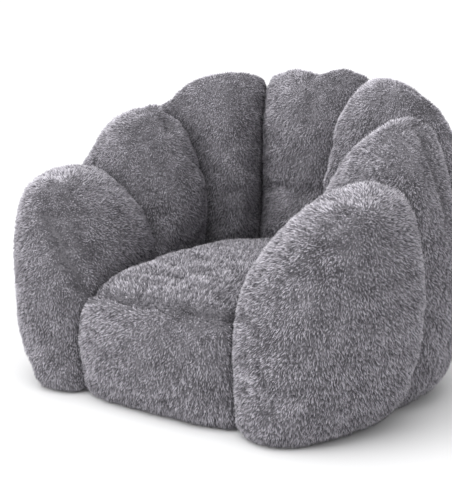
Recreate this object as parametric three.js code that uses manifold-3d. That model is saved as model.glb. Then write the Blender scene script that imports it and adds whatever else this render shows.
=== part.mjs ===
// Petal bean bag chair: seven plush petals stand in a horseshoe round a domed seat.
// Millimetres, +Z up, standing on z = 0. The chair faces -Y and is the same left and right.

import * as THREE from "three";
import { mergeVertices } from "three/addons/utils/BufferGeometryUtils.js";
import Module from "manifold-3d";

const wasm = await Module();
wasm.setup();

// ---------------------------------------------------------------- driving dimensions

const FRONT_EDGE = -402; // y of the seam along the seat's front edge
const BASE_THICK = 3; // non-slip base panel
const BASE_INSET = 14; // how far the base stays inside the petals' feet
const GAP = 0.4; // clearance between pieces that touch
const COVER_THICK = 4; // plush cover with its backing
const SOLE = BASE_THICK + GAP; // height at which every cover starts

const PETAL_STEPS = 6; // slices across a petal
const OUTLINE_STEPS = 2; // points from one outline point to the next

// A seam between two petals lies in an upright plane. The plane leaves the centreline `start`
// behind the front edge and runs `turn` degrees away from straight sideways. The outline goes
// from the inner foot over the crest to the outer foot, as [out, up] points.
const SEAMS = {
  arm: {
    start: 300,
    turn: 0,
    outline: [
      [262, SOLE], [236, 90], [228, 270], [275, 390], [360, 488], [442, 524],
      [498, 470], [512, 350], [508, 210], [494, 80], [446, SOLE],
    ],
  },
  side: {
    start: 530,
    turn: 3,
    outline: [
      [284, SOLE], [258, 90], [252, 286], [268, 430], [318, 561], [386, 648],
      [446, 590], [476, 450], [486, 250], [472, 80], [430, SOLE],
    ],
  },
  back: {
    start: 272,
    turn: 70.7,
    outline: [
      [428, SOLE], [406, 90], [402, 285], [431, 430], [432, 610], [490, 720],
      [540, 650], [566, 480], [578, 250], [562, 80], [520, SOLE],
    ],
  },
};

// How far each petal swells out of its seams, at each point of their outlines, and how much
// of that swelling leans towards its front seam.
const SIDE_SWELL = { amounts: [0, 8, 34, 74, 74, 38, 36, 40, 40, 26, 8], lean: -0.22 };
const CORNER_SWELL = { amounts: [0, 8, 52, 112, 100, 56, 62, 56, 48, 30, 8], lean: 0.3 };
const BACK_SWELL = { amounts: [0, 8, 34, 54, 52, 36, 46, 44, 38, 14, 4], lean: 0 };

// The arm's outline in the middle of its length, as [sideways, up] points, and its rounded nose.
// Each exponent says how squarely the outline closes towards the nose: 2 is round.
const ARM_OUTLINE = [
  [224, SOLE], [202, 90], [198, 285], [244, 398], [322, 484], [434, 540],
  [510, 484], [542, 380], [545, 240], [516, 84], [448, SOLE],
];
const ARM_NOSE = { x: 330, z: 180, reach: -52, inner: 3.4, outer: 1.8, top: 2.7, bottom: 12 };

// The seat block's outline along its length, as [behind the front edge, up] points.
const SEAT_OUTLINE = [
  [-20, SOLE], [-33, 60], [-37, 130], [-27, 206], [0, 252], [70, 282], [200, 297],
  [380, 298], [560, 290], [700, 282], [700, SOLE],
];
const SEAT_HALF_WIDTH = 252;
const SEAT_SIDE_DROP = 46; // the seat's top is this much lower at its sides
const SEAT_EDGE_UP = 252;

// The zip lies level across the lower back, on a flat pocket in the back petal.
const ZIP = {
  up: 122, half: 118, tape: 15, tapeThick: 1.2, teeth: 2.6, teethThick: 3, teethGap: 1.3,
};
const POCKET = { half: 131, halfHeight: 27, slotHalf: 122, slotHalfHeight: 8 };
const SLIDER = { length: 12, height: 9, plate: 1.4, web: 0.5, webLength: 3, clear: 0.6, start: 106 };
const ARCH = { half: 4.6, width: 2.6, wall: 1.4, roof: 1.1, barUp: 1.6, embed: 0.5 };
const PULL = { length: 24, width: 7.6, thick: 1.2, window: 5.2, bar: 1.4, rim: 1.9 };
const LABEL = { x: -60, width: 34, drop: 44, thick: 0.8, up: 172 };

// ---------------------------------------------------------------- shape helpers

function signedVolume(geometry) {
  const at = (i) => new THREE.Vector3().fromBufferAttribute(geometry.attributes.position, i);
  const index = geometry.index.array;
  let volume = 0;
  for (let i = 0; i < index.length; i += 3) {
    volume += at(index[i]).dot(at(index[i + 1]).cross(at(index[i + 2]))) / 6;
  }
  return volume;
}

function flip(geometry) {
  const index = geometry.index.array;
  for (let i = 0; i < index.length; i += 3) {
    [index[i + 1], index[i + 2]] = [index[i + 2], index[i + 1]];
  }
  geometry.computeVertexNormals();
}

// A closed mesh through rings of equal length, with a fan of triangles over each end.
function loft(rings) {
  const points = rings.flat();
  const size = rings[0].length;
  const centres = [rings[0], rings[rings.length - 1]].map((ring) => {
    const centre = new THREE.Vector3();
    ring.forEach((p) => centre.addScaledVector(p, 1 / size));
    return centre;
  });
  const index = [];
  for (let k = 0; k + 1 < rings.length; k++) {
    for (let i = 0; i < size; i++) {
      const a = k * size + i;
      const b = k * size + ((i + 1) % size);
      index.push(a, b, a + size, b, b + size, a + size);
    }
  }
  const last = (rings.length - 1) * size;
  for (let i = 0; i < size; i++) {
    const next = (i + 1) % size;
    index.push(points.length, next, i);
    index.push(points.length + 1, last + i, last + next);
  }
  const geometry = new THREE.BufferGeometry().setFromPoints([...points, ...centres]);
  geometry.setIndex(index);
  geometry.computeVertexNormals();
  if (signedVolume(geometry) < 0) flip(geometry);
  return geometry;
}

function toSolid(geometry) {
  const bare = geometry.clone();
  bare.deleteAttribute("normal");
  bare.deleteAttribute("uv");
  const merged = mergeVertices(bare, 1e-3);
  return new wasm.Manifold(
    new wasm.Mesh({
      numProp: 3,
      vertProperties: new Float32Array(merged.attributes.position.array),
      triVerts: new Uint32Array(merged.index.array),
    }),
  );
}

function toGeometry(solid) {
  const mesh = solid.getMesh();
  const geometry = new THREE.BufferGeometry();
  geometry.setAttribute("position", new THREE.BufferAttribute(mesh.vertProperties, 3));
  geometry.setIndex(new THREE.BufferAttribute(mesh.triVerts, 1));
  geometry.computeVertexNormals();
  return geometry;
}

// A box from its lowest to its highest corner.
function block(low, high) {
  const size = high.map((value, axis) => value - low[axis]);
  const geometry = new THREE.BoxGeometry(...size);
  geometry.translate(...low.map((value, axis) => value + size[axis] / 2));
  return geometry;
}

function mirrored(geometry) {
  const copy = geometry.clone().applyMatrix4(new THREE.Matrix4().makeScale(-1, 1, 1));
  flip(copy);
  return copy;
}

// A smooth closed outline through [out, up] points, counter-clockwise inside to outside, set in by
// `inset` along its own normals. Its flat underside lies at the height `sole`.
function smoothOutline(outline, inset, sole) {
  const curve = new THREE.CatmullRomCurve3(
    outline.map(([out, up]) => new THREE.Vector3(out, 0, up)),
    true,
    "centripetal",
  );
  const points = curve.getPoints(outline.length * OUTLINE_STEPS).slice(0, -1);
  return points.map((p, i) => {
    const before = points[(i + points.length - 1) % points.length];
    const after = points[(i + 1) % points.length];
    const tangent = new THREE.Vector2(after.x - before.x, after.z - before.z).normalize();
    const outward = { out: -tangent.y, up: tangent.x };
    const underside = p.z < SOLE + 0.01;
    const up = underside ? sole : Math.max(p.z - outward.up * inset, sole);
    return { out: p.x - outward.out * inset, up, outward };
  });
}

// One value for each point of a smooth outline, blended between the outline's own points.
function spread(values) {
  return values.flatMap((value, i) => {
    const next = values[(i + 1) % values.length];
    return Array.from({ length: OUTLINE_STEPS }, (_, k) =>
      THREE.MathUtils.lerp(value, next, k / OUTLINE_STEPS),
    );
  });
}

// ---------------------------------------------------------------- petals and arms

// A seam's outline placed in its upright plane, with the outward direction at every point.
function seamRing({ start, turn, outline }, inset, sole) {
  const angle = THREE.MathUtils.degToRad(turn);
  const along = new THREE.Vector3(Math.cos(angle), Math.sin(angle), 0);
  return smoothOutline(outline, inset, sole).map(({ out, up, outward }) => ({
    point: new THREE.Vector3(0, FRONT_EDGE + start, up).addScaledVector(along, out),
    outward: new THREE.Vector3(0, 0, outward.up).addScaledVector(along, outward.out),
  }));
}

function mirrorSeam(seam) {
  return { ...seam, turn: 180 - seam.turn };
}

// A pillow between two seams: round across its width, and square to the seams at its edges.
// `inset` makes it smaller all over, and `sole` is the height of its flat underside.
function petalGeometry(seamA, seamB, { amounts, lean }, inset = 0, sole = SOLE) {
  const ringA = seamRing(seamA, inset, sole);
  const ringB = seamRing(seamB, inset, sole);
  const swell = spread(amounts);
  const rings = [];
  for (let k = 0; k <= PETAL_STEPS; k++) {
    const angle = (Math.PI * k) / PETAL_STEPS;
    const roundness = Math.sin(angle) * (1 + lean * Math.cos(angle));
    rings.push(
      ringA.map((a, i) => {
        const b = ringB[i];
        const clear = (GAP + inset) / a.point.distanceTo(b.point);
        const across = THREE.MathUtils.lerp(clear, 1 - clear, (1 - Math.cos(angle)) / 2);
        const outward = a.outward.clone().lerp(b.outward, across).normalize();
        const p = a.point.clone().lerp(b.point, across);
        p.addScaledVector(outward, swell[i] * roundness);
        p.z = Math.max(p.z, sole);
        return p;
      }),
    );
  }
  return loft(rings);
}

// The arm swells out of its rear seam, keeps its outline, and closes in a blunt rounded nose.
function armGeometry(inset = 0, sole = SOLE) {
  const rear = seamRing(SEAMS.arm, inset, sole);
  const full = smoothOutline(ARM_OUTLINE, inset, sole);
  const rearY = SEAMS.arm.start - GAP - inset;
  const length = rearY - ARM_NOSE.reach - inset;
  const steps = PETAL_STEPS + 2;
  const closing = (forward, exponent) => (1 - forward ** exponent) ** (1 / exponent);
  const rings = [];
  for (let k = 0; k <= steps; k++) {
    const forward = Math.min(Math.sin(((Math.PI / 2) * k) / steps) ** 0.9, 0.9995);
    const fullness = Math.sin((Math.PI / 2) * Math.min(1, 2.6 * forward));
    rings.push(
      rear.map(({ point }, i) => {
        const x = THREE.MathUtils.lerp(point.x, full[i].out, fullness);
        const z = THREE.MathUtils.lerp(point.z, full[i].up, fullness);
        const sideways = closing(forward, x < ARM_NOSE.x ? ARM_NOSE.inner : ARM_NOSE.outer);
        const upright = closing(forward, z < ARM_NOSE.z ? ARM_NOSE.bottom : ARM_NOSE.top);
        return new THREE.Vector3(
          ARM_NOSE.x + (x - ARM_NOSE.x) * sideways,
          FRONT_EDGE + rearY - length * forward,
          ARM_NOSE.z + (z - ARM_NOSE.z) * upright,
        );
      }),
    );
  }
  return loft(rings);
}

// All seven petals, each made smaller by `inset`, from left arm to right arm.
function petals(inset = 0, sole = SOLE) {
  const arm = armGeometry(inset, sole);
  const side = petalGeometry(SEAMS.arm, SEAMS.side, SIDE_SWELL, inset, sole);
  const corner = petalGeometry(SEAMS.side, SEAMS.back, CORNER_SWELL, inset, sole);
  const centre = petalGeometry(SEAMS.back, mirrorSeam(SEAMS.back), BACK_SWELL, inset, sole);
  return {
    left_arm: mirrored(arm),
    left_side: mirrored(side),
    back_left: mirrored(corner),
    back_centre: centre,
    back_right: corner,
    right_side: side,
    right_arm: arm,
  };
}

const UNDER = -5; // a hollow that reaches this low leaves its shell open underneath
const belowSole = toSolid(block([-1000, -1000, -100], [1000, 1000, SOLE + GAP]));

const PETALS = petals();
const HOLLOWS = petals(COVER_THICK, UNDER);
const FILLINGS = petals(COVER_THICK + GAP, UNDER);

// Everything the petals fill, grown by `distance`.
function petalsGrown(distance) {
  return Object.values(petals(-distance, UNDER))
    .map(toSolid)
    .reduce((all, solid) => all.add(solid));
}

// ---------------------------------------------------------------- seat

// The seat block runs from arm to arm and under the back petals, which are cut out of it.
function seatGeometry(inset = 0, sole = SOLE) {
  const outline = smoothOutline(SEAT_OUTLINE, inset, sole);
  const stations = [-1, -0.86, -0.5, 0, 0.5, 0.86, 1];
  return loft(
    stations.map((across) =>
      outline.map(({ out, up }) => {
        const towardsSide = across ** 4;
        const rise = Math.max(0, (up - SEAT_EDGE_UP) / SEAT_SIDE_DROP);
        const forward = out < 0 ? out * (1 - 0.8 * towardsSide) : out;
        return new THREE.Vector3(
          across * (SEAT_HALF_WIDTH - inset),
          FRONT_EDGE + forward,
          up - SEAT_SIDE_DROP * towardsSide * rise,
        );
      }),
    ),
  );
}

const seatOuter = toSolid(seatGeometry()).subtract(petalsGrown(2 * GAP));
const seatHollow = toSolid(seatGeometry(COVER_THICK, UNDER)).subtract(
  petalsGrown(2 * GAP + COVER_THICK),
);
const seatFill = toSolid(seatGeometry(COVER_THICK + GAP, UNDER))
  .subtract(petalsGrown(3 * GAP + COVER_THICK))
  .subtract(belowSole);
const seatShell = seatOuter.subtract(seatHollow);

// Half of space in front of and below the front edge seam, pulled back by `clear`.
function frontHalfSpace(clear) {
  const size = 2000;
  const geometry = new THREE.BoxGeometry(size, size, size);
  geometry.translate(0, -size / 2 - clear, 0);
  geometry.rotateX(Math.PI / 4);
  geometry.translate(0, FRONT_EDGE, SEAT_EDGE_UP);
  return toSolid(geometry);
}

// ---------------------------------------------------------------- covers and their filling

// A cover is a shell that follows its petal and is open underneath, where the base closes it.
function coverSolid(name) {
  return toSolid(PETALS[name]).subtract(toSolid(HOLLOWS[name]));
}

// The liner bag of shredded foam that fills a cover.
function fillSolid(name) {
  return toSolid(FILLINGS[name]).subtract(belowSole);
}

// A box across the lower back, from the depth `y` outwards, `more` larger than the zip's pocket.
function pocketBox(y, more) {
  const reach = POCKET.half + more;
  const high = POCKET.halfHeight + more;
  return toSolid(block([-reach, y, ZIP.up - high], [reach, y + 200, ZIP.up + high]));
}

// How far back the back petal reaches between two places across it and two heights.
function backSurface([x0, x1], [z0, z1]) {
  const probe = toSolid(block([x0, 0, z0], [x1, 1000, z1]));
  return toSolid(PETALS.back_centre).intersect(probe).boundingBox().max[1];
}

// The pocket's floor is just below the petal's surface at the pocket's lower corners.
const lowerEdge = ZIP.up - POCKET.halfHeight;
const POCKET_Y = backSurface([POCKET.half - 1, POCKET.half], [lowerEdge, lowerEdge + 1]) - 2;
const slot = toSolid(
  block(
    [-POCKET.slotHalf, POCKET_Y - 20, ZIP.up - POCKET.slotHalfHeight],
    [POCKET.slotHalf, POCKET_Y + 20, ZIP.up + POCKET.slotHalfHeight],
  ),
);

function backCentreCover() {
  const outer = toSolid(PETALS.back_centre).subtract(pocketBox(POCKET_Y, 0));
  const hollow = toSolid(HOLLOWS.back_centre).subtract(pocketBox(POCKET_Y - COVER_THICK, COVER_THICK));
  return outer.subtract(hollow).subtract(slot);
}

function backCentreFill() {
  const clear = COVER_THICK + GAP;
  return fillSolid("back_centre").subtract(pocketBox(POCKET_Y - clear, clear));
}

// ---------------------------------------------------------------- base panel

// The points where a petal's slices meet the floor on the outside, as a plan outline.
function outerFeet(geometry, from, to) {
  const { position } = geometry.attributes;
  const size = SEAMS.arm.outline.length * OUTLINE_STEPS;
  const foot = size - OUTLINE_STEPS;
  const feet = [];
  for (let ring = from; ring <= to; ring++) {
    const i = ring * size + foot;
    feet.push(new THREE.Vector2(position.getX(i), position.getY(i)));
  }
  return feet;
}

// The base closes the covers underneath. Its edge runs just inside their outer feet.
function baseGeometry() {
  const frontRight = outerFeet(PETALS.right_arm, 0, PETAL_STEPS).reverse();
  const rim = [
    ...frontRight,
    ...outerFeet(PETALS.right_side, 1, PETAL_STEPS),
    ...outerFeet(PETALS.back_right, 1, PETAL_STEPS),
    ...outerFeet(PETALS.back_centre, 1, PETAL_STEPS / 2 - 1),
  ];
  const right = rim.map((p) => {
    const inwards = p.clone().setLength(BASE_INSET);
    return new THREE.Vector2(p.x - inwards.x, Math.max(p.y - inwards.y, FRONT_EDGE + BASE_INSET));
  });
  const left = right.map((p) => new THREE.Vector2(-p.x, p.y)).reverse();
  const shape = new THREE.Shape([...right, ...left]);
  return new THREE.ExtrudeGeometry(shape, { depth: BASE_THICK, bevelEnabled: false });
}

// ---------------------------------------------------------------- zip

// A box on the zip's own axes: along the zip, out from the pocket's floor, and up from its line.
function zipBlock([along0, along1], [out0, out1], [up0, up1]) {
  return block(
    [along0, POCKET_Y + out0, ZIP.up + up0],
    [along1, POCKET_Y + out1, ZIP.up + up1],
  );
}

const teethNear = ZIP.teethGap / 2;
const teethFar = teethNear + ZIP.teeth;
const tapeOut = [GAP, GAP + ZIP.tapeThick];
const teethOut = [-0.6, -0.6 + ZIP.teethThick];
const plateUnder = [teethOut[0] - SLIDER.clear - SLIDER.plate, teethOut[0] - SLIDER.clear];
const plateOver = [teethOut[1] + SLIDER.clear, teethOut[1] + SLIDER.clear + SLIDER.plate];
const sliderSpan = [-SLIDER.start - SLIDER.length / 2, -SLIDER.start + SLIDER.length / 2];
const barOut = plateOver[1] + ARCH.barUp;
const barClear = 1.5;

// Two plates over and under the teeth, a thin web between them, and an arch that holds the pull.
function sliderSolid() {
  const halfHeight = SLIDER.height / 2;
  const webSpan = [sliderSpan[0], sliderSpan[0] + SLIDER.webLength];
  const webOut = [plateUnder[0] + ARCH.embed, plateOver[1] - ARCH.embed];
  const archSpan = [-SLIDER.start - ARCH.half, -SLIDER.start + ARCH.half];
  const eyeSpan = [archSpan[0] + ARCH.wall, archSpan[1] - ARCH.wall];
  const eyeTop = barOut + barClear;
  const under = toSolid(zipBlock(sliderSpan, plateUnder, [-halfHeight, halfHeight]));
  const over = toSolid(zipBlock(sliderSpan, plateOver, [-halfHeight, halfHeight]));
  const web = toSolid(zipBlock(webSpan, webOut, [-SLIDER.web / 2, SLIDER.web / 2]));
  const archOut = [plateOver[0] + ARCH.embed, eyeTop + ARCH.roof];
  const arch = toSolid(zipBlock(archSpan, archOut, [-ARCH.width / 2, ARCH.width / 2]));
  const eye = toSolid(zipBlock(eyeSpan, [plateOver[1], eyeTop], [-ARCH.width, ARCH.width]));
  return under.add(over).add(web).add(arch.subtract(eye));
}

// A flat tab with a window at its near end, which leaves the bar that hangs in the arch.
function pullSolid() {
  const half = PULL.width / 2;
  const start = -SLIDER.start;
  const flat = [barOut - PULL.thick / 2, barOut + PULL.thick / 2];
  const tab = toSolid(zipBlock([start - PULL.bar / 2, start + PULL.length], flat, [-half, half]));
  const windowSpan = [start + PULL.bar / 2, start + PULL.bar / 2 + PULL.window];
  const through = [barOut - PULL.thick, barOut + PULL.thick];
  const window = toSolid(zipBlock(windowSpan, through, [PULL.rim - half, half - PULL.rim]));
  return tab.subtract(window);
}

// ---------------------------------------------------------------- care label

// A blank label lies on the back petal above the zip.
function labelGeometry() {
  const sides = [LABEL.x - LABEL.width / 2, LABEL.x + LABEL.width / 2];
  const heights = [LABEL.up, LABEL.up + LABEL.drop];
  const near = backSurface(sides, heights) + GAP;
  return block([sides[0], near, heights[0]], [sides[1], near + LABEL.thick, heights[1]]);
}

// ---------------------------------------------------------------- assembly

const plush = new THREE.MeshStandardMaterial({ color: 0x85838a, roughness: 0.95, metalness: 0 });
const liner = new THREE.MeshStandardMaterial({ color: 0xe8e6e0, roughness: 0.9, metalness: 0 });
const baseCloth = new THREE.MeshStandardMaterial({ color: 0x3b3a3e, roughness: 0.85, metalness: 0 });
const zipTape = new THREE.MeshStandardMaterial({ color: 0x5c5a60, roughness: 0.8, metalness: 0 });
const zipNylon = new THREE.MeshStandardMaterial({ color: 0x4a484d, roughness: 0.5, metalness: 0 });
const zipMetal = new THREE.MeshStandardMaterial({ color: 0x6d6c70, roughness: 0.35, metalness: 1 });
const labelCloth = new THREE.MeshStandardMaterial({ color: 0xf2f1ee, roughness: 0.8, metalness: 0 });

const group = new THREE.Group();

function addPiece(name, shape, material) {
  const geometry = shape.isBufferGeometry ? shape : toGeometry(shape);
  const mesh = new THREE.Mesh(geometry, material.clone());
  mesh.name = name;
  group.add(mesh);
}

for (const name of Object.keys(PETALS)) {
  const hasZip = name === "back_centre";
  addPiece(`${name}_cover`, hasZip ? backCentreCover() : coverSolid(name), plush);
  addPiece(`${name}_fill`, hasZip ? backCentreFill() : fillSolid(name), liner);
}
addPiece("seat_cover", seatShell.subtract(frontHalfSpace(-GAP)), plush);
addPiece("front_panel_cover", seatShell.intersect(frontHalfSpace(0)), plush);
addPiece("seat_fill", seatFill, liner);
addPiece("base_panel", baseGeometry(), baseCloth);

const chain = [-ZIP.half, ZIP.half];
const tapeSpan = [-ZIP.half - 6, ZIP.half + 6];
for (const [name, sign] of [["upper", 1], ["lower", -1]]) {
  const tape = [teethFar + 0.3, teethFar + 0.3 + ZIP.tape].map((up) => up * sign).sort((a, b) => a - b);
  const teeth = [teethNear, teethFar].map((up) => up * sign).sort((a, b) => a - b);
  addPiece(`zip_tape_${name}`, zipBlock(tapeSpan, tapeOut, tape), zipTape);
  addPiece(`zip_teeth_${name}`, zipBlock(chain, teethOut, teeth), zipNylon);
}
for (const [name, sign] of [["left", -1], ["right", 1]]) {
  const span = [ZIP.half + 0.4, ZIP.half + 3.4].map((along) => along * sign).sort((a, b) => a - b);
  addPiece(`zip_stop_${name}`, zipBlock(span, teethOut, [-teethFar, teethFar]), zipMetal);
}
addPiece("care_label", labelGeometry(), labelCloth);
addPiece("zip_slider", sliderSolid(), zipMetal);
addPiece("zip_pull", pullSolid(), zipMetal);

export default group;
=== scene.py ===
import math
import bmesh
import bpy
import numpy as np
from mathutils import Matrix, Vector
from mathutils.bvhtree import BVHTree


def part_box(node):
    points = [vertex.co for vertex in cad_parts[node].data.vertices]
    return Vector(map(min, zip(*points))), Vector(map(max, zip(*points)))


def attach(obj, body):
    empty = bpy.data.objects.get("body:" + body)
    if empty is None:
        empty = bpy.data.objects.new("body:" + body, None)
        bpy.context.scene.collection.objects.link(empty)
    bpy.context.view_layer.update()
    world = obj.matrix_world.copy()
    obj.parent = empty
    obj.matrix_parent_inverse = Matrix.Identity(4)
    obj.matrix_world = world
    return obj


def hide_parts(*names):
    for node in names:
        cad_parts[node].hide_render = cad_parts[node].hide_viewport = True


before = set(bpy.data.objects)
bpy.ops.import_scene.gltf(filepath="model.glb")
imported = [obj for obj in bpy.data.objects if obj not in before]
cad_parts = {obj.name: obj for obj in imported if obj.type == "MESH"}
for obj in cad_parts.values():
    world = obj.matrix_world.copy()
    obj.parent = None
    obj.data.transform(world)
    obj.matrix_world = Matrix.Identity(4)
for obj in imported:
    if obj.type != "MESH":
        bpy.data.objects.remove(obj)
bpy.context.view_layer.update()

print("frame loaded")


# small helpers for meshes

def newObject(name, mesh):
    piece = bpy.data.objects.new(name, mesh)
    bpy.context.scene.collection.objects.link(piece)
    return piece


def selectNone():
    bpy.ops.object.select_all(action="DESELECT")


def selectOnly(piece):
    selectNone()
    piece.select_set(True)
    bpy.context.view_layer.objects.active = piece


def applyAll(piece):
    selectOnly(piece)
    for modifier in list(piece.modifiers):
        bpy.ops.object.modifier_apply(modifier=modifier.name)


def vertexPlaces(mesh):
    places = np.empty(len(mesh.vertices) * 3)
    mesh.vertices.foreach_get("co", places)
    return places.reshape(-1, 3)


def vertexNormals(mesh):
    normals = np.empty(len(mesh.vertices) * 3)
    mesh.vertices.foreach_get("normal", normals)
    return normals.reshape(-1, 3)


def moveVertices(mesh, places):
    mesh.vertices.foreach_set("co", np.asarray(places, np.float32).ravel())
    mesh.update()


def treeOf(piece):
    mesh = piece.data
    mesh.calc_loop_triangles()
    corners = [tuple(triangle.vertices) for triangle in mesh.loop_triangles]
    return BVHTree.FromPolygons([vertex.co.copy() for vertex in mesh.vertices], corners)


noise = {"waves": 10, "shortest": 0.7, "longest": 1.5, "latest": 6.3, "range": 3.2}


# a smooth field between about -1 and 1 whose bumps are about `size` metres across
def softNoise(places, size, seed):
    random = np.random.default_rng(seed)
    total = np.zeros(len(places))
    for _ in range(noise["waves"]):
        direction = random.normal(size=3)
        direction /= np.linalg.norm(direction)
        length = size * random.uniform(noise["shortest"], noise["longest"])
        phase = random.uniform(0, noise["latest"])
        total += np.sin(places @ direction * (2 * math.pi / length) + phase)
    return total / noise["range"]


# camera: a long portrait lens, from the front right and a little above

cameraView = {"azimuth": 34.8, "elevation": 11.6, "distance": 2.5,
              "target": (-0.026, -0.0685, 0.316), "lens": 72}


def addCamera(settings):
    azimuth = math.radians(settings["azimuth"])
    elevation = math.radians(settings["elevation"])
    back = Vector((math.sin(azimuth) * math.cos(elevation),
                   -math.cos(azimuth) * math.cos(elevation), math.sin(elevation)))
    bpy.ops.object.camera_add(location=Vector(settings["target"]) + back * settings["distance"])
    camera = bpy.context.object
    camera.rotation_euler = (-back).to_track_quat("-Z", "Y").to_euler()
    camera.data.lens = settings["lens"]
    bpy.context.scene.camera = camera


addCamera(cameraView)


# stuffed sections: each starts from its filling and is blown up

# `nudges` push part of a section, and `creases` pull the cover in along a line
sections = {
    "left_arm": {"nudges": [
        {"at": (-0.52, -0.34, 0.20), "reach": 0.32, "by": (0.017, 0.012, 0)},
        {"at": (-0.50, -0.36, 0.00), "reach": 0.17, "by": (0.052, 0.036, 0)},
        {"at": (-0.42, -0.40, 0.02), "reach": 0.14, "by": (0.014, 0.013, 0)},
        {"at": (-0.42, -0.16, 0.54), "reach": 0.18, "by": (0.006, 0, -0.020)},
        {"at": (-0.25, -0.13, 0.37), "reach": 0.17, "by": (0.024, 0, 0.002)}],
        "creases": [
        {"line": [(-0.215, -0.39, 0.255), (-0.243, -0.394, 0.302), (-0.269, -0.398, 0.343),
                  (-0.301, -0.39, 0.387), (-0.34, -0.38, 0.43)], "wide": 0.015, "deep": 0.017},
        {"line": [(-0.235, -0.33, 0.29), (-0.275, -0.35, 0.345), (-0.31, -0.33, 0.39)],
         "wide": 0.030, "deep": 0.009}]},
    "left_side": {"nudges": [
        {"at": (-0.45, 0.02, 0.605), "reach": 0.14, "by": (-0.007, -0.002, 0.012)},
        {"at": (-0.48, -0.07, 0.53), "reach": 0.12, "by": (0.009, 0.005, -0.002)}],
        "creases": [
        {"line": [(-0.385, 0.15, 0.64), (-0.34, 0.09, 0.625), (-0.30, 0.05, 0.58)],
         "wide": 0.018, "deep": 0.014}]},
    "back_left": {"nudges": [
        {"at": (-0.26, 0.34, 0.75), "reach": 0.13, "by": (0, 0, 0.012)},
        {"at": (-0.14, 0.30, 0.76), "reach": 0.085, "by": (0.002, 0, -0.006)},
        {"at": (-0.40, 0.24, 0.68), "reach": 0.12, "by": (0.013, -0.008, -0.011)}],
        "creases": [
        {"line": [(-0.39, 0.17, 0.655), (-0.35, 0.20, 0.67), (-0.31, 0.19, 0.64)],
         "wide": 0.018, "deep": 0.013}]},
    "back_centre": {"nudges": [
        {"at": (0.11, 0.34, 0.75), "reach": 0.10, "by": (0, 0, 0.011)},
        {"at": (-0.11, 0.34, 0.75), "reach": 0.10, "by": (0, 0, 0.008)}],
        "creases": [
        {"line": [(-0.01, 0.40, 0.73), (0.003, 0.311, 0.745), (0.025, 0.259, 0.70),
                  (0.035, 0.235, 0.62)], "wide": 0.024, "deep": 0.013}]},
    "back_right": {"nudges": [
        {"at": (0.42, 0.33, 0.68), "reach": 0.20, "by": (-0.020, -0.013, -0.010)},
        {"at": (0.28, 0.25, 0.73), "reach": 0.12, "by": (0, 0, -0.006)}],
        "creases": [
        {"line": [(0.40, 0.16, 0.665), (0.37, 0.20, 0.695), (0.33, 0.21, 0.70)],
         "wide": 0.018, "deep": 0.014}]},
    "right_side": {"nudges": [
        {"at": (0.50, 0.10, 0.54), "reach": 0.24, "by": (-0.022, -0.012, -0.004)}],
        "creases": [
        {"line": [(0.40, 0.10, 0.645), (0.436, 0.058, 0.624), (0.471, 0.027, 0.587),
                  (0.505, 0.0, 0.52), (0.52, -0.01, 0.42)], "wide": 0.020, "deep": 0.020},
        {"line": [(0.405, 0.10, 0.65), (0.395, 0.046, 0.634), (0.37, 0.0, 0.60)],
         "wide": 0.014, "deep": 0.007}]},
    "right_arm": {"nudges": [
        {"at": (0.55, -0.22, 0.24), "reach": 0.26, "by": (0.018, 0.004, 0)}],
        "creases": [
        {"line": [(0.24, -0.41, 0.258), (0.275, -0.432, 0.272), (0.315, -0.445, 0.275)],
         "wide": 0.013, "deep": 0.007}]},
    "seat": {"cut": "behind", "nudges": [
        {"at": (0.0, -0.36, 0.30), "reach": 0.16, "by": (0, 0, -0.006)}],
        "creases": [
        {"line": [(-0.215, -0.39, 0.255), (-0.15, -0.35, 0.275)], "wide": 0.014, "deep": 0.006}]},
    "front_panel": {"cut": "front", "nudges": [
        {"at": (-0.25, -0.43, 0.12), "reach": 0.17, "by": (0, 0.017, 0)},
        {"at": (0.25, -0.43, 0.12), "reach": 0.17, "by": (0, 0.012, 0)}],
        "creases": []},
}

# pushes that neighbouring sections share, so that their seams stay closed
sharedNudges = [
    {"at": (-0.25, -0.42, 0.27), "reach": 0.17, "by": (0.028, 0, 0)},
    {"at": (-0.25, -0.42, 0.00), "reach": 0.17, "by": (0.034, 0, 0)},
]

# the seam along the seat's front edge wanders up and down a little
frontSeam = {"between": ("seat", "front_panel"), "line": [(-0.24, -0.40, 0.252), (0.25, -0.40, 0.252)],
             "wide": 0.05, "wander": 0.0055, "waves": 0.06, "seed": 5, "points": 18,
             "creaseWide": 0.009, "creaseDeep": 0.008, "opened": 4}


def seamWander(places):
    across = places * np.array([1, 0, 0])
    return frontSeam["wander"] * softNoise(across, frontSeam["waves"], frontSeam["seed"])


seamPoints = np.linspace(*frontSeam["line"], frontSeam["points"])
seamPoints[:, 2] += seamWander(seamPoints)
for name in frontSeam["between"]:
    sections[name]["creases"].append({"line": [tuple(point) for point in seamPoints],
                                      "wide": frontSeam["creaseWide"],
                                      "deep": frontSeam["creaseDeep"]})

padding = {"voxel": 0.018, "smoothing": 3, "smoothed": 0.5, "quality": 4, "pressure": 4.0,
           "frames": 20, "most": 0.011, "held": 0.012, "free": 0.045, "slack": -0.03,
           "regained": 0.0032, "creaseSteps": 6, "heldBelow": 0.008, "freeAbove": 0.03,
           "footBelow": 0.009, "spareFoot": 0.04, "sole": 0.0045, "tuck": 0.015,
           "tuckHeight": 0.038}

# places closer than this count as the same
close = 1e-5


# cuts a form along a plane and returns the edges of the cut
def cutAlong(form, point, normal, **cleared):
    cut = bmesh.ops.bisect_plane(form, geom=form.verts[:] + form.edges[:] + form.faces[:],
                                 dist=close / 10, plane_co=point, plane_no=normal, **cleared)
    return [item for item in cut["geom_cut"] if isinstance(item, bmesh.types.BMEdge)]


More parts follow.
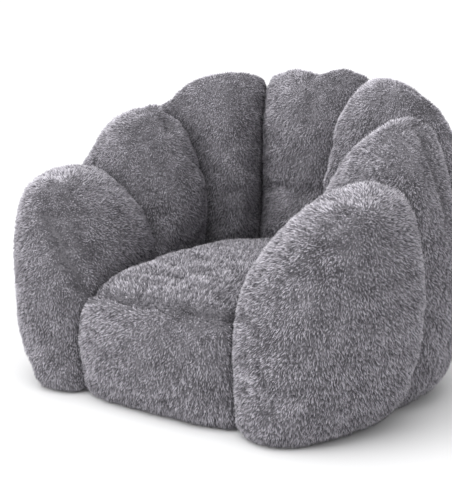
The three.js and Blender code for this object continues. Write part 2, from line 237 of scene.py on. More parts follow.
# the seam plane between the seat and the front panel runs down and back from the front edge
def cutAtFrontEdge(mesh, keep):
    edgeY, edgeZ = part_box("seat_cover")[0].y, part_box("front_panel_cover")[1].z
    form = bmesh.new()
    form.from_mesh(mesh)
    bmesh.ops.remove_doubles(form, verts=form.verts, dist=close)
    edges = cutAlong(form, Vector((0, edgeY, edgeZ)), Vector((0, 1, 1)).normalized(),
                     clear_outer=keep == "front", clear_inner=keep == "behind")
    bmesh.ops.contextual_create(form, geom=edges)
    form.to_mesh(mesh)
    form.free()


def startSection(name, settings):
    cut = settings.get("cut")
    source = "seat_fill" if cut else name + "_fill"
    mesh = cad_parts[source].data.copy()
    mesh.materials.clear()
    if cut:
        cutAtFrontEdge(mesh, cut)
    places = vertexPlaces(mesh)
    places[places[:, 2] < padding["footBelow"], 2] -= padding["spareFoot"]
    moveVertices(mesh, places)
    piece = newObject(name + "_padding", mesh)
    remesh = piece.modifiers.new("Remesh", "REMESH")
    remesh.mode = "VOXEL"
    remesh.voxel_size = padding["voxel"]
    applyAll(piece)
    smooth = piece.modifiers.new("Smooth", "SMOOTH")
    smooth.factor = padding["smoothed"]
    smooth.iterations = padding["smoothing"]
    applyAll(piece)
    return piece


def nearestGap(tree, places, most):
    gaps = np.full(len(places), most)
    for number, spot in enumerate(places):
        found, _, _, distance = tree.find_nearest(Vector(spot), most)
        if found is not None:
            gaps[number] = distance
    return gaps


# how far every vertex is from the other sections, up to `most`
def gapsToOthers(pieces, most):
    trees = {name: treeOf(piece) for name, piece in pieces.items()}
    gaps = {}
    for name, piece in pieces.items():
        places = vertexPlaces(piece.data)
        low, high = places.min(axis=0) - most, places.max(axis=0) + most
        gap = np.full(len(places), most)
        for other, tree in trees.items():
            otherPlaces = vertexPlaces(pieces[other].data)
            apart = np.any(otherPlaces.max(axis=0) < low) or np.any(otherPlaces.min(axis=0) > high)
            if other != name and not apart:
                gap = np.minimum(gap, nearestGap(tree, places, most))
        gaps[name] = gap
    return gaps


def easeBetween(values, low, high):
    share = np.clip((values - low) / (high - low), 0, 1)
    return share * share * (3 - 2 * share)


# pushes whose strength fades from `at` to nothing at `reach`
def nudged(places, nudges):
    for nudge in nudges:
        away = np.linalg.norm(places - np.array(nudge["at"]), axis=1)
        places = places + (1 - easeBetween(away, 0, nudge["reach"]))[:, None] * np.array(nudge["by"])
    return places


# 1 along a line of points, fading to nothing over about `wide` on both sides
def nearLine(places, line, wide):
    points = np.array(line)
    share = np.zeros(len(places))
    for start, end in zip(points[:-1], points[1:]):
        step = end - start
        along = np.clip((places - start) @ step / max(step @ step, 1e-12), 0, 1)
        away = np.linalg.norm(places - start - along[:, None] * step, axis=1)
        share = np.maximum(share, np.exp(-(away / wide) ** 2))
    return share


# a crease's points, closely spaced on the section's surface
def laidOn(tree, line):
    points = [Vector(point) for point in line]
    steps = padding["creaseSteps"]
    dense = [start.lerp(end, k / steps) for start, end in zip(points[:-1], points[1:])
             for k in range(steps)]
    return [tuple(tree.find_nearest(point)[0]) for point in dense + points[-1:]]


# pulls a groove in along each crease, and keeps how creased each point is, which shortens its fur and
# darkens it as painted shade
def pullCreases(piece, creases):
    mesh, tree = piece.data, treeOf(piece)
    places, normals = vertexPlaces(mesh), vertexNormals(mesh)
    total = np.zeros(len(places))
    for crease in creases:
        share = nearLine(places, laidOn(tree, crease["line"]), crease["wide"])
        places = places - normals * share[:, None] * crease["deep"]
        total = np.maximum(total, share * crease["deep"] / crease["wide"])
    mesh.attributes.new("creased", "FLOAT", "POINT").data.foreach_set("value", np.clip(total, 0, 1))
    moveVertices(mesh, places)


# cuts the spare foot off level, which leaves a flat sole with a crisp edge
def cutSole(mesh):
    form = bmesh.new()
    form.from_mesh(mesh)
    edges = cutAlong(form, Vector((0, 0, padding["sole"])), Vector((0, 0, 1)), clear_inner=True)
    made = bmesh.ops.contextual_create(form, geom=edges)
    bmesh.ops.triangulate(form, faces=made["faces"])
    bmesh.ops.recalc_face_normals(form, faces=form.faces)
    form.to_mesh(mesh)
    form.free()


def addCloth(piece, gap):
    places = vertexPlaces(piece.data)
    onFloor = 1 - easeBetween(places[:, 2], padding["heldBelow"], padding["freeAbove"])
    held = np.maximum(1 - easeBetween(gap, padding["held"], padding["free"]), onFloor)
    group = piece.vertex_groups.new(name="held")
    for index, weight in enumerate(held):
        group.add([index], float(weight), "REPLACE")
    cloth = piece.modifiers.new("Cloth", "CLOTH")
    cloth.settings.quality = padding["quality"]
    cloth.settings.use_pressure = True
    cloth.settings.uniform_pressure_force = padding["pressure"]
    cloth.settings.vertex_group_mass = "held"
    cloth.settings.shrink_min = padding["slack"]
    cloth.settings.effector_weights.gravity = 0
    cloth.collision_settings.use_collision = False
    cloth.collision_settings.use_self_collision = False
    return held


def blowUp(pieces):
    gaps = gapsToOthers(pieces, padding["free"])
    before = {name: vertexPlaces(piece.data) for name, piece in pieces.items()}
    held = {name: addCloth(piece, gaps[name]) for name, piece in pieces.items()}
    for number in range(1, padding["frames"] + 1):
        bpy.context.scene.frame_set(number)
    graph = bpy.context.evaluated_depsgraph_get()
    after = {name: vertexPlaces(piece.evaluated_get(graph).data) for name, piece in pieces.items()}
    for name, piece in pieces.items():
        piece.modifiers.clear()
        piece.vertex_groups.clear()
        step = (after[name] - before[name]) * (1 - held[name])[:, None]
        length = np.linalg.norm(step, axis=1)
        allowed = np.minimum(length, padding["most"])
        moveVertices(piece.data, before[name] + step * (allowed / np.maximum(length, 1e-9))[:, None])
        print(name, "moved up to", round(float(length.max() * 1000), 1), "mm")
    bpy.context.scene.frame_set(1)


pads = {name: startSection(name, settings) for name, settings in sections.items()}
print("sections remeshed:", sum(len(piece.data.vertices) for piece in pads.values()), "vertices")
blowUp(pads)
print("sections blown up")

for name, piece in pads.items():
    places = vertexPlaces(piece.data) + vertexNormals(piece.data) * padding["regained"]
    places = nudged(places, sections[name]["nudges"] + sharedNudges)
    seamShare = nearLine(places, frontSeam["line"], frontSeam["wide"])
    places[:, 2] += seamShare * seamWander(places)
    moveVertices(piece.data, places)
    pullCreases(piece, sections[name]["creases"])
    subdivide = piece.modifiers.new("Subdivision", "SUBSURF")
    subdivide.levels = 1
    applyAll(piece)
    places, normals = vertexPlaces(piece.data), vertexNormals(piece.data)
    nearFloor = 1 - easeBetween(places[:, 2], 0, padding["tuckHeight"])
    tuck = (padding["tuck"] * nearFloor)[:, None]
    moveVertices(piece.data, places - normals * np.array([1, 1, 0]) * tuck)
    cutSole(piece.data)
    piece.data.polygons.foreach_set("use_smooth", [True] * len(piece.data.polygons))


# materials

def newMaterial(name):
    material = bpy.data.materials.new(name)
    material.use_nodes = True
    return material, material.node_tree.nodes, material.node_tree.links


def setInputs(node, values):
    for key, value in values.items():
        node.inputs[key].default_value = value


def addNode(nodes, kind, values=None, **settings):
    node = nodes.new("ShaderNode" + kind)
    for key, value in settings.items():
        setattr(node, key, value)
    setInputs(node, values or {})
    return node


# every row leads an output to an input
def linkAll(links, *rows):
    for source, output, target, entry in rows:
        links.new(source.outputs[output], target.inputs[entry])


# sets the shader and leads a colour and a bump into it
def finishShader(nodes, links, values, colour, bump):
    shader = nodes["Principled BSDF"]
    setInputs(shader, values)
    linkAll(links, (colour, "Color", shader, "Base Color"), (bump, "Normal", shader, "Normal"))
    return shader


def ramp(nodes, stops):
    node = addNode(nodes, "ValToRGB")
    elements = node.color_ramp.elements
    while len(elements) < len(stops):
        elements.new(0.5)
    for element, (position, colour) in zip(elements, stops):
        element.position = position
        element.color = (*colour, 1)
    return node


# a strand's colour depends on how far along it the point is, darkening towards the root as painted
# shade down among the strands, and on the strand's own tone, which also carries painted light and
# shade
def makeFurMaterial():
    material, nodes, links = newMaterial("plush_fur")
    spot = addNode(nodes, "UVMap", uv_map="OFBake")
    split = addNode(nodes, "SeparateXYZ")
    # painted shade: this ramp makes each strand darkest at its root and lightest at its tip, for the
    # shade among the strands
    along = ramp(nodes, [(0.0, (0.03, 0.029, 0.032)), (0.35, (0.27, 0.262, 0.286)),
                         (0.72, (0.60, 0.585, 0.622)), (1.0, (0.84, 0.825, 0.862))])
    tone = ramp(nodes, [(0.0, (0.2, 0.196, 0.207)), (0.5, (0.88, 0.87, 0.89)),
                        (1.0, (1.36, 1.345, 1.375))])
    mix = addNode(nodes, "Mix", {"Factor": 1}, data_type="RGBA", blend_type="MULTIPLY")
    shader = nodes["Principled BSDF"]
    setInputs(shader, {"Roughness": 0.92, "Specular IOR Level": 0.15})
    linkAll(links, (spot, "UV", split, "Vector"),
            (split, "Y", along, "Fac"), (split, "X", tone, "Fac"),
            (along, "Color", mix, "A"), (tone, "Color", mix, "B"),
            (mix, "Result", shader, "Base Color"))
    return material


# the knitted backing, coloured nearly black as painted shade showing between the strands
def makeBackingMaterial():
    material, nodes, links = newMaterial("plush_backing_painted_shade")
    spot = addNode(nodes, "TexCoord")
    fine = addNode(nodes, "TexNoise", {"Scale": 520, "Detail": 5})
    broad = addNode(nodes, "TexNoise", {"Scale": 14})
    colour = ramp(nodes, [(0.42, (0.03, 0.029, 0.032)), (0.62, (0.075, 0.072, 0.08)),
                          (0.85, (0.18, 0.173, 0.19))])
    shade = addNode(nodes, "Math", {1: 0.5}, operation="MULTIPLY_ADD")
    bump = addNode(nodes, "Bump", {"Strength": 0.9, "Distance": 0.003})
    linkAll(links, (spot, "Object", fine, "Vector"), (spot, "Object", broad, "Vector"),
            (broad, "Fac", shade, 0), (fine, "Fac", shade, 2),
            (shade, "Value", colour, "Fac"), (fine, "Fac", bump, "Height"))
    finishShader(nodes, links, {"Roughness": 0.95}, colour, bump)
    return material


furMaterial = makeFurMaterial()
backingMaterial = makeBackingMaterial()


# fur: slim three-sided strands in small tufts, combed away from each section's crown

fur = {"seed": 1100, "tuftSpacing": 0.00385, "tries": 5, "cell": 1.1, "strandsPerTuft": 2,
       "spread": 0.0015, "gather": 0.2, "length": 0.0088, "root": 0.0012, "sunk": 0.001, "lean": 0.82,
       "leastGap": 0.003, "fullGap": 0.015, "bareBelow": 0.006, "bareUnder": -0.8,
       "shortest": 0.45, "shortFolded": 0.45, "mostFolded": 0.93, "crownSoft": 0.04,
       "leastLean": 0.4, "mostLean": 1.25, "lowestTip": 0.001, "mostFaces": 185000}

# slow changes over the surface, each as its size in metres and its strength
furWaves = {"swirl": (0.20, 0.24), "wisp": (0.035, 0.36), "lean": (0.024, 0.24),
            "length": (0.02, 0.1), "toneBroad": (0.06, 0.09), "toneFine": (0.009, 0.24)}

# how much the tufts, and the strands in a tuft, differ
furStray = {"tuftComb": 0.2, "tuftLean": 0.14, "tuftTone": 0.16, "lean": 0.10,
            "length": (0.78, 1.12), "root": (0.75, 1.25), "tip": 0.0007, "tone": 0.10}

# a strand's tone, from 0 for the darkest, how much painted shade darkens it in creases and where
# sections press close together, and where on its map its root and its tip lie
furTone = {"middle": 0.47, "folded": 0.45, "closed": 0.3, "least": 0.01, "most": 0.99,
           "rootApart": 0.004, "rootAt": 0.01, "tipAt": 0.99}

# the zip pocket in the back: its recess, and the deeper slot behind the zip's coil
pocket = {"halfWide": 0.1305, "low": 0.0955, "high": 0.1485, "floor": 0.4127, "open": 0.50,
          "slotHalf": 0.122, "slotLow": 0.114, "slotHigh": 0.130, "slotFloor": 0.3935,
          "slotShort": 0.01, "edge": 0.003, "smoothBelow": 45}

# the blank care label sewn on above it
label = {"low": (-0.077, 0.172), "high": (-0.043, 0.216), "thick": 0.0007, "above": 0.0032,
         "drawnAt": 0.46, "seenFrom": 0.6, "cells": (14, 18), "soften": 0.0002,
         "seamIn": 0.0028, "stitch": 0.0022, "thread": 0.00045, "threadUp": 0.3,
         "threadEnds": 0.5, "pitch": 0.0034, "smoothBelow": 50}

# parts of the back that stay bare: (lowX, lowZ, highX, highZ), and only behind `bareBehind`
bareSpots = {"back_centre": [
    (-pocket["halfWide"] - 0.004, pocket["low"] - 0.003,
     pocket["halfWide"] + 0.004, pocket["high"] + 0.005),
    (label["low"][0] - 0.002, label["low"][1] - 0.002,
     label["high"][0] + 0.002, label["high"][1] + 0.005)]}
bareBehind = 0.38

# the crown that a nap runs away from, as shares of the section's box, and how strongly it also
# runs `along` a fixed direction, which is `napDown` where nothing else is said; `tone` lightens or
# darkens a section's whole fur as painted light and shade, for how much light falls on it
napDown = (0, 0, -0.5)
naps = {
    "left_arm": {"crown": (0.5, 0.45, 0.93), "along": (0, 0, -0.3), "tone": 0.06},
    "right_arm": {"crown": (0.78, 0.52, 0.95), "along": (0, 0, -0.3), "tone": -0.04},
    "left_side": {"crown": (0.6, 0.5, 1.0), "tone": 0.08},
    "right_side": {"crown": (0.4, 0.5, 1.0)},
    "back_left": {"crown": (0.6, 0.6, 1.0), "tone": 0.12},
    "back_right": {"crown": (0.4, 0.6, 1.0), "tone": 0.12},
    "back_centre": {"crown": (0.5, 0.7, 1.0), "tone": 0.1},
    "seat": {"crown": (0.5, -0.5, 0.9), "along": (0, 0, 0), "tone": -0.19},
    "front_panel": {"crown": (0.5, 0.5, 1.5)},
}


def unit(vectors):
    return vectors / np.maximum(np.linalg.norm(vectors, axis=1), 1e-9)[:, None]


# one random place in each small cell of space, so that tufts are spread evenly
def spreadPlaces(corners, places, area, spacing, random):
    count = int(area.sum() / spacing**2 * fur["tries"])
    chosen = random.choice(len(area), count, p=area / area.sum())
    u, v = random.random(count), random.random(count)
    flip = u + v > 1
    u[flip], v[flip] = 1 - u[flip], 1 - v[flip]
    weights = np.stack([1 - u - v, u, v], axis=1)
    roots = (places[corners[chosen]] * weights[:, :, None]).sum(axis=1)
    cells = np.floor(roots / (spacing * fur["cell"])).astype(int)
    kept = np.unique(cells, axis=0, return_index=True)[1]
    return chosen[kept], weights[kept], roots[kept]


def makeStrands(name, vertices, tones, material):
    count = len(vertices) // 4
    faces = np.array([[0, 1, 3], [1, 2, 3], [2, 0, 3]])
    loops = (np.arange(count)[:, None, None] * 4 + faces[None]).ravel()
    apart = furTone["rootApart"]
    mapU = (tones[:, None] + np.array([-apart, apart, 0, 0])).ravel()[loops]
    mapV = np.tile([furTone["rootAt"]] * 3 + [furTone["tipAt"]], count)[loops]
    strands = bpy.data.meshes.new(name)
    strands.vertices.add(len(vertices))
    strands.vertices.foreach_set("co", vertices.astype(np.float32).ravel())
    strands.loops.add(len(loops))
    strands.loops.foreach_set("vertex_index", loops.astype(np.int32))
    strands.polygons.add(len(loops) // 3)
    strands.polygons.foreach_set("loop_start", np.arange(0, len(loops), 3, dtype=np.int32))
    strands.polygons.foreach_set("use_smooth", np.ones(len(loops) // 3, bool))
    layer = strands.uv_layers.new(name="OFBake")
    layer.uv.foreach_set("vector", np.stack([mapU, mapV], axis=1).astype(np.float32).ravel())
    strands.update(calc_edges=True)
    strands.materials.append(material)
    return newObject(name, strands)


def furWave(places, kind, seed):
    size, strength = furWaves[kind]
    return strength * softNoise(places, size, seed)


# a section's tufts: where they stand, the way out, how open and how creased it is there, the area
def plantTufts(name, mesh, gap, random):
    mesh.calc_loop_triangles()
    corners = np.empty(len(mesh.loop_triangles) * 3, int)
    mesh.loop_triangles.foreach_get("vertices", corners)
    corners = corners.reshape(-1, 3)
    places, normals = vertexPlaces(mesh), vertexNormals(mesh)
    cover = easeBetween(gap, fur["leastGap"], fur["fullGap"])
    bare = (gap < fur["leastGap"]) | (places[:, 2] < fur["bareBelow"])
    bare |= normals[:, 2] < fur["bareUnder"]
    a, b, c = (places[corners[:, k]] for k in range(3))
    area = np.linalg.norm(np.cross(b - a, c - a), axis=1) / 2
    area[bare[corners].any(axis=1)] = 0
    chosen, weights, tuft = spreadPlaces(corners, places, area, fur["tuftSpacing"], random)
    creases = np.empty(len(places))
    mesh.attributes["creased"].data.foreach_get("value", creases)
    folded = (creases[corners[chosen]] * weights).sum(axis=1)
    kept = folded < fur["mostFolded"]
    for lowX, lowZ, highX, highZ in bareSpots.get(name, []):
        inX = (tuft[:, 0] > lowX) & (tuft[:, 0] < highX)
        inZ = (tuft[:, 2] > lowZ) & (tuft[:, 2] < highZ)
        kept &= ~(inX & inZ & (tuft[:, 1] > bareBehind))
    chosen, weights, tuft, folded = chosen[kept], weights[kept], tuft[kept], folded[kept]
    normal = unit((normals[corners[chosen]] * weights[:, :, None]).sum(axis=1))
    fullness = (cover[corners[chosen]] * weights).sum(axis=1)
    return tuft, normal, fullness, folded, area.sum()


# the way every tuft lies: away from the crown and along the nap, with swirls and wisps
def combTufts(nap, places, tuft, normal, random, seed):
    low, high = places.min(axis=0), places.max(axis=0)
    away = tuft - (low + (high - low) * np.array(nap["crown"]))
    away -= normal * (away * normal).sum(axis=1)[:, None]
    comb = away / (np.linalg.norm(away, axis=1) + fur["crownSoft"])[:, None]
    comb = comb + np.array(nap.get("along", napDown))
    swirl = np.stack([furWave(tuft, "swirl", seed + k) for k in range(3)], axis=1)
    wisp = np.stack([furWave(tuft, "wisp", seed + 10 + k) for k in range(3)], axis=1)
    comb += swirl + wisp + furStray["tuftComb"] * random.normal(size=tuft.shape)
    comb -= normal * (comb * normal).sum(axis=1)[:, None]
    return unit(comb)


# a section's fur, in level bands so that no band is too heavy
def growFur(name, piece, gap, seed):
    random = np.random.default_rng(seed)
    nap = naps[name]
    tuft, normal, fullness, folded, area = plantTufts(name, piece.data, gap, random)
    comb = combTufts(nap, vertexPlaces(piece.data), tuft, normal, random, seed)
    lean = fur["lean"] + furWave(tuft, "lean", seed + 20)
    lean = lean + furStray["tuftLean"] * random.normal(size=len(tuft))
    lean = np.clip(lean, fur["leastLean"], fur["mostLean"])
    length = fur["length"] * (fur["shortest"] + (1 - fur["shortest"]) * fullness)
    length *= (1 + furWave(tuft, "length", seed + 21)) * (1 - fur["shortFolded"] * folded)

    each = fur["strandsPerTuft"]
    tuft, normal, comb = (np.repeat(item, each, axis=0) for item in (tuft, normal, comb))
    lean, length = np.repeat(lean, each), np.repeat(length, each)
    folded, fullness = np.repeat(folded, each), np.repeat(fullness, each)
    count = len(tuft)
    across = np.cross(normal, comb)
    angle = random.uniform(0, 2 * math.pi, count)
    reach = np.sqrt(random.random(count)) * fur["spread"]
    offset = comb * (np.cos(angle) * reach)[:, None] + across * (np.sin(angle) * reach)[:, None]
    root = tuft + offset
    lean = lean + furStray["lean"] * random.normal(size=count)
    length = length * random.uniform(*furStray["length"], count)
    tip = tuft + offset * fur["gather"] + normal * (length * np.cos(lean))[:, None]
    tip += comb * (length * np.sin(lean))[:, None] + furStray["tip"] * random.normal(size=tip.shape)
    tip[:, 2] = np.maximum(tip[:, 2], fur["lowestTip"])

    turn = random.uniform(0, 2 * math.pi, count)[:, None]
    width = fur["root"] * random.uniform(*furStray["root"], count)[:, None]
    sunk = root - normal * fur["sunk"]
    ring = [sunk + width * (comb * np.cos(turn + k) + across * np.sin(turn + k))
            for k in (0, 2 * math.pi / 3, 4 * math.pi / 3)]
    vertices = np.stack([*ring, tip], axis=1).reshape(-1, 3)
    # painted light and shade: each section's own tone offset lightens or darkens its whole fur for how
    # much light reaches it
    tone = furTone["middle"] + nap.get("tone", 0) + furWave(root, "toneBroad", seed + 30)
    tone = tone + furWave(root, "toneFine", seed + 31)
    tuftTone = np.repeat(furStray["tuftTone"] * random.normal(size=count // each), each)
    # painted shade: strands are darker in creases and where sections press close together
    tone += tuftTone - furTone["folded"] * folded - furTone["closed"] * (1 - fullness)
    tone = tone + furStray["tone"] * random.normal(size=count)
    tone = np.clip(tone, furTone["least"], furTone["most"])

    bands = math.ceil(count * 3 / fur["mostFaces"])
    edges = np.quantile(root[:, 2], np.linspace(0, 1, bands + 1))
    band = np.clip(np.searchsorted(edges, root[:, 2], side="right") - 1, 0, bands - 1)
    coats = []
    for number in range(bands):
        inBand = band == number
        ending = "" if bands == 1 else f"_{number + 1}"
        coats.append(makeStrands(f"{name}_fur{ending}", vertices[np.repeat(inBand, 4)],
                                 tone[inBand], furMaterial))
    print(name, "fur:", count, "strands over", round(float(area), 3), "square metres")
    return coats


gaps = gapsToOthers(pads, fur["fullGap"])
faceCount = 0
for number, (name, piece) in enumerate(pads.items()):
    piece.data.materials.append(backingMaterial)
    gap = gaps[name]
    if name in frontSeam["between"]:
        atSeam = nearLine(vertexPlaces(piece.data), frontSeam["line"], frontSeam["wide"])
        gap = gap * (1 + frontSeam["opened"] * atSeam)
    for coat in growFur(name, piece, gap, fur["seed"] + 100 * number):
        faceCount += len(coat.data.polygons)
        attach(coat, "chair")
    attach(piece, "chair")
    if name == "front_panel":
        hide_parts("front_panel_cover")
    else:
        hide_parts(name + "_cover", name + "_fill")
print("fur faces:", faceCount)


# hard and sewn details at the back, modelled from primitives

# a direction counts as along an axis when its share that way is over this
mostly = 0.9


def addBox(low, high):
    selectNone()
    middle = [(a + b) / 2 for a, b in zip(low, high)]
    bpy.ops.mesh.primitive_cube_add(size=1, location=middle)
    box = bpy.context.object
    box.scale = [b - a for a, b in zip(low, high)]
    bpy.ops.object.transform_apply(location=True, rotation=False, scale=True)
    return box


# enters edit mode with the elements that `test` picks by their centre and direction
def editOnly(piece, kind, test):
    selectOnly(piece)
    bpy.ops.object.mode_set(mode="EDIT")
    bpy.ops.mesh.select_mode(type=kind)
    form = bmesh.from_edit_mesh(piece.data)
    elements = {"FACE": form.faces, "EDGE": form.edges}[kind]
    for items in (form.verts, form.edges, form.faces):
        for item in items:
            item.select = False
    for item in elements:
        middle = sum((vertex.co for vertex in item.verts), Vector()) / len(item.verts)
        along = item.normal if kind == "FACE" else (item.verts[1].co - item.verts[0].co).normalized()
        if test(middle, along):
            item.select_set(True)
    bmesh.update_edit_mesh(piece.data)


def leaveEdit():
    bpy.ops.object.mode_set(mode="OBJECT")


# rounds the edges that `test` picks; `shape` is the width and the number of steps
def roundEdges(piece, shape, test):
    editOnly(piece, "EDGE", test)
    bpy.ops.mesh.bevel(offset=shape[0], segments=shape[1], affect="EDGES")
    leaveEdit()


def combine(piece, tool, operation):
    modifier = piece.modifiers.new("Boolean", "BOOLEAN")
    modifier.operation = operation
    modifier.solver = "EXACT"
    modifier.object = tool
    applyAll(piece)
    bpy.data.objects.remove(tool)


finish = {"bevelOver": 35, "smoothBelow": 40}


def smoothUpTo(angle):
    bpy.ops.object.shade_smooth_by_angle(angle=math.radians(angle))


def finishEdges(piece, width, segments=2):
    bevel = piece.modifiers.new("Bevel", "BEVEL")
    bevel.width = width
    bevel.segments = segments
    bevel.limit_method = "ANGLE"
    bevel.angle_limit = math.radians(finish["bevelOver"])
    applyAll(piece)
    smoothUpTo(finish["smoothBelow"])


def join(pieces, name):
    selectOnly(pieces[0])
    for piece in pieces[1:]:
        piece.select_set(True)
    bpy.ops.object.join()
    joined = bpy.context.object
    joined.name = name
    joined.data.name = name
    return joined


def place(piece, name, body, slotName, material, *nodes):
    piece.name = name
    piece.data.name = name
    piece.data.materials.clear()
    piece.data.materials.append(material)
    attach(piece, body)
    if nodes:
        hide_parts(*nodes)
    return piece


def cutPocket(pad):
    recess = addBox((-pocket["halfWide"], pocket["floor"], pocket["low"]),
                    (pocket["halfWide"], pocket["open"], pocket["high"]))
    finishEdges(recess, pocket["edge"], 3)
    slot = addBox((-pocket["slotHalf"], pocket["slotFloor"], pocket["slotLow"]),
                  (pocket["slotHalf"], pocket["open"] - pocket["slotShort"], pocket["slotHigh"]))
    finishEdges(slot, pocket["edge"], 2)
    combine(pad, recess, "DIFFERENCE")
    combine(pad, slot, "DIFFERENCE")
    selectOnly(pad)
    smoothUpTo(pocket["smoothBelow"])


cutPocket(pads["back_centre"])
print("pocket cut")


# materials of the details: woven cloth, nylon and metal

# `threads` is how many a metre, along the two directions of the weave
def makeWovenMaterial(name, dark, light, threads, axes, relief, roughness=0.85):
    material, nodes, links = newMaterial(name)
    spot = addNode(nodes, "TexCoord")
    split = addNode(nodes, "SeparateXYZ")
    crossed = addNode(nodes, "Math", operation="MULTIPLY")
    for number, (axis, count) in enumerate(zip(axes, threads)):
        scaled = addNode(nodes, "Math", {1: count * math.pi}, operation="MULTIPLY")
        wave = addNode(nodes, "Math", operation="SINE")
        linkAll(links, (split, axis, scaled, 0), (scaled, "Value", wave, 0),
                (wave, "Value", crossed, number))
    fuzz = addNode(nodes, "TexNoise", {"Scale": 900, "Detail": 4})
    height = addNode(nodes, "Math", {1: 0.35}, operation="MULTIPLY_ADD")
    colour = ramp(nodes, [(0.2, dark), (0.85, light)])
    bump = addNode(nodes, "Bump", {"Strength": 0.7, "Distance": relief})
    linkAll(links, (spot, "Object", split, "Vector"), (spot, "Object", fuzz, "Vector"),
            (crossed, "Value", height, 0), (fuzz, "Fac", height, 2),
            (height, "Value", colour, "Fac"), (height, "Value", bump, "Height"))
    finishShader(nodes, links, {"Roughness": roughness, "Sheen Weight": 0.2}, colour, bump)
    return material


def makeGrainedMaterial(name, dark, light, metallic, rough, grain, relief):
    material, nodes, links = newMaterial(name)
    spot = addNode(nodes, "TexCoord")
    fine = addNode(nodes, "TexNoise", {"Scale": grain, "Detail": 5})
    colour = ramp(nodes, [(0.3, dark), (0.7, light)])
    gloss = addNode(nodes, "MapRange", {"To Min": rough[0], "To Max": rough[1]})
    bump = addNode(nodes, "Bump", {"Strength": 0.4, "Distance": relief})
    shader = finishShader(nodes, links, {"Metallic": metallic}, colour, bump)
    linkAll(links, (spot, "Object", fine, "Vector"), (fine, "Fac", colour, "Fac"),
            (fine, "Fac", gloss, "Value"), (fine, "Fac", bump, "Height"),
            (gloss, "Result", shader, "Roughness"))
    return material


tapeMaterial = makeWovenMaterial("zip_tape_weave", (0.045, 0.044, 0.048), (0.15, 0.147, 0.158),
                                 (1500, 900), ("X", "Z"), 0.0003)
labelMaterial = makeWovenMaterial("label_satin", (0.62, 0.61, 0.59), (0.86, 0.855, 0.84),
                                  (2600, 1800), ("X", "Z"), 0.0001, 0.55)
baseMaterial = makeWovenMaterial("base_cloth_weave", (0.018, 0.018, 0.02), (0.075, 0.073, 0.08),
                                 (420, 420), ("X", "Y"), 0.0006)
nylonMaterial = makeGrainedMaterial("zip_nylon", (0.055, 0.054, 0.06), (0.11, 0.108, 0.118),
                                    0, (0.35, 0.5), 700, 0.00005)
metalMaterial = makeGrainedMaterial("zip_gunmetal", (0.17, 0.168, 0.175), (0.30, 0.295, 0.305),
                                    1, (0.28, 0.48), 1600, 0.00003)
threadMaterial = makeGrainedMaterial("sewing_thread", (0.45, 0.44, 0.43), (0.7, 0.69, 0.67),
                                     0, (0.6, 0.8), 3000, 0.0001)


# zip tapes: woven strips whose inner edge is a little thicker under the coil

tape = {"thick": 0.0009, "under": 0.0016, "seat": 0.0034, "raised": 0.00025, "soften": 0.0002}


def makeTape(name, inward):
    low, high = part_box(name)
    if inward < 0:
        low = Vector((low.x, low.y, low.z - tape["under"]))
        seatAt = low.z + tape["seat"]
    else:
        high = Vector((high.x, high.y, high.z + tape["under"]))
        seatAt = high.z - tape["seat"]
    strip = addBox(low, (high.x, low.y + tape["thick"], high.z))
    editOnly(strip, "FACE", lambda middle, normal: True)
    bpy.ops.mesh.bisect(plane_co=(0, 0, seatAt), plane_no=(0, 0, 1))
    leaveEdit()
    editOnly(strip, "FACE", lambda middle, normal: normal.y > mostly
             and (middle.z - seatAt) * inward > 0)
    bpy.ops.transform.translate(value=(0, tape["raised"], 0))
    leaveEdit()
    finishEdges(strip, tape["soften"])
    place(strip, name + "_cloth", "chair", "zip_tape", tapeMaterial, name)
    return strip


makeTape("zip_tape_upper", -1)
makeTape("zip_tape_lower", 1)


# coil: one turn is repeated along the tape, the two sides half a pitch apart

coil = {"start": 0.0003, "pitch": 0.0016, "turn": 0.00105, "head": 1.3, "headDeep": 0.8,
        "soften": 0.00022}


def makeCoil(name, inward, offset):
    low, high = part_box(name)
    count = int((high.x - low.x - offset) / coil["pitch"])
    turn = addBox((low.x + offset, low.y, low.z), (low.x + offset + coil["turn"], high.y, high.z))
    editOnly(turn, "FACE", lambda middle, normal: normal.z * inward > mostly)
    bpy.ops.transform.resize(value=(coil["head"], coil["headDeep"], 1))
    leaveEdit()
    finishEdges(turn, coil["soften"], 1)
    repeat = turn.modifiers.new("Array", "ARRAY")
    repeat.count = count
    repeat.use_relative_offset = False
    repeat.use_constant_offset = True
    repeat.constant_offset_displace = (coil["pitch"], 0, 0)
    applyAll(turn)
    return place(turn, name.replace("teeth", "coil"), "chair", "zip_nylon", nylonMaterial, name)


makeCoil("zip_teeth_upper", -1, coil["start"])
makeCoil("zip_teeth_lower", 1, coil["start"] + coil["pitch"] / 2)


# end stops: a folded metal clip with a pressed groove

stop = {"rim": 0.0006, "groove": 0.0004, "soften": 0.00035}


def makeStop(name):
    low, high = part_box(name)
    clip = addBox(low, high)
    editOnly(clip, "FACE", lambda middle, normal: normal.y > mostly)
    bpy.ops.mesh.inset(thickness=stop["rim"], depth=0)
    bpy.ops.transform.translate(value=(0, -stop["groove"], 0))
    leaveEdit()
    finishEdges(clip, stop["soften"])
    return place(clip, name + "_clip", "chair", "zip_metal", metalMaterial, name)


makeStop("zip_stop_left")
makeStop("zip_stop_right")


# slider: two narrowing plates, a divider between them and an arch for the pull

slider = {"plate": 0.0014, "tail": 0.72, "nose": (0.0014, 3), "flange": 0.0009,
          "flangeDrop": 0.0008, "flangeStart": 0.0014, "flangeSunk": 0.0006, "web": 0.0005,
          "webLong": 0.003, "webSunk": 0.0005, "archHalf": 0.0046, "archWide": 0.0026,
          "archWall": 0.0014, "archRoof": 0.0011, "archInside": 0.0031, "archFoot": 0.0005,
          "archTop": (0.0012, 4), "soften": 0.00028}


